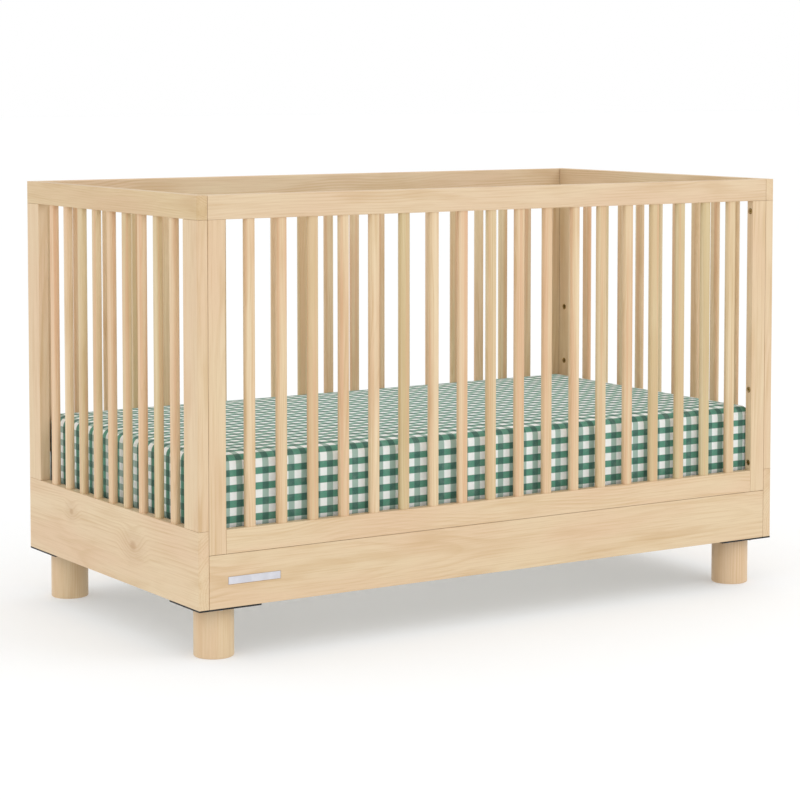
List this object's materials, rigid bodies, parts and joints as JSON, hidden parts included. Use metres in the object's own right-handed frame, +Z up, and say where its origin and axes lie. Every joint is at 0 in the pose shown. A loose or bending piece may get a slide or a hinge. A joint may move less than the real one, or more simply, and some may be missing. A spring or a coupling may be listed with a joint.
{
  "type": "baby crib",
  "caption": "Full-size wooden baby crib: slatted end panels bolted to slatted long frames, round legs, height-adjustable steel mattress support, mattress with a gingham fitted sheet.",
  "frame": {"origin": "on the floor under the middle of the crib: the centre of the bottom of its box", "axes": "+X along the length, towards the right end seen from the front; -Y is the front; +Z is up"},
  "size_m": [1.372, 0.747, 0.86],
  "materials": {
    "frame_wood": "satin",
    "slat_wood": "satin",
    "leg_wood": "satin",
    "black_steel": "satin",
    "zinc_steel": "satin",
    "support_steel": "satin",
    "label_metal": "satin",
    "ticking": "matte",
    "gingham": "matte"
  },
  "bodies": {
    "frame": {"left_end_board": "frame_wood", "left_end_top_rail": "frame_wood", "left_end_slats": "slat_wood", "left_end_front_post": "frame_wood", "left_end_back_post": "frame_wood", "right_end_board": "frame_wood", "right_end_top_rail": "frame_wood", "right_end_slats": "slat_wood", "right_end_front_post": "frame_wood", "right_end_back_post": "frame_wood", "front_top_rail": "frame_wood", "front_bottom_rail": "frame_wood", "front_slats": "slat_wood", "front_apron": "frame_wood", "front_left_stile": "frame_wood", "front_left_stile_bolt_low": "zinc_steel", "front_left_stile_bolt_middle": "zinc_steel", "front_left_stile_bolt_top": "zinc_steel", "front_right_stile": "frame_wood", "front_right_stile_bolt_low": "zinc_steel", "front_right_stile_bolt_middle": "zinc_steel", "front_right_stile_bolt_top": "zinc_steel", "back_top_rail": "frame_wood", "back_bottom_rail": "frame_wood", "back_slats": "slat_wood", "back_apron": "frame_wood", "back_left_stile": "frame_wood", "back_left_stile_bolt_low": "zinc_steel", "back_left_stile_bolt_middle": "zinc_steel", "back_left_stile_bolt_top": "zinc_steel", "back_right_stile": "frame_wood", "back_right_stile_bolt_low": "zinc_steel", "back_right_stile_bolt_middle": "zinc_steel", "back_right_stile_bolt_top": "zinc_steel", "label_plate": "label_metal", "front_left_leg": "leg_wood", "front_left_leg_plate": "black_steel", "front_left_leg_bolt": "zinc_steel", "front_left_support_bolt": "zinc_steel", "back_left_leg": "leg_wood", "back_left_leg_plate": "black_steel", "back_left_leg_bolt": "zinc_steel", "back_left_support_bolt": "zinc_steel", "front_right_leg": "leg_wood", "front_right_leg_plate": "black_steel", "front_right_leg_bolt": "zinc_steel", "front_right_support_bolt": "zinc_steel", "back_right_leg": "leg_wood", "back_right_leg_plate": "black_steel", "back_right_leg_bolt": "zinc_steel", "back_right_support_bolt": "zinc_steel"},
    "support": {"front_left_support_bracket": "support_steel", "back_left_support_bracket": "support_steel", "front_right_support_bracket": "support_steel", "back_right_support_bracket": "support_steel", "support_frame": "support_steel", "support_deck": "support_steel"},
    "mattress": {"mattress": "ticking", "fitted_sheet": "gingham"}
  },
  "joints": [
    {"name": "support_height", "type": "slide", "parent": "frame", "child": "support", "axis": [0, 0, 1], "range_m": [0, 0.254]},
    {"name": "mattress_lift", "type": "slide", "parent": "support", "child": "mattress", "axis": [0, 0, 1], "range_m": [0, 0.66]}
  ]
}
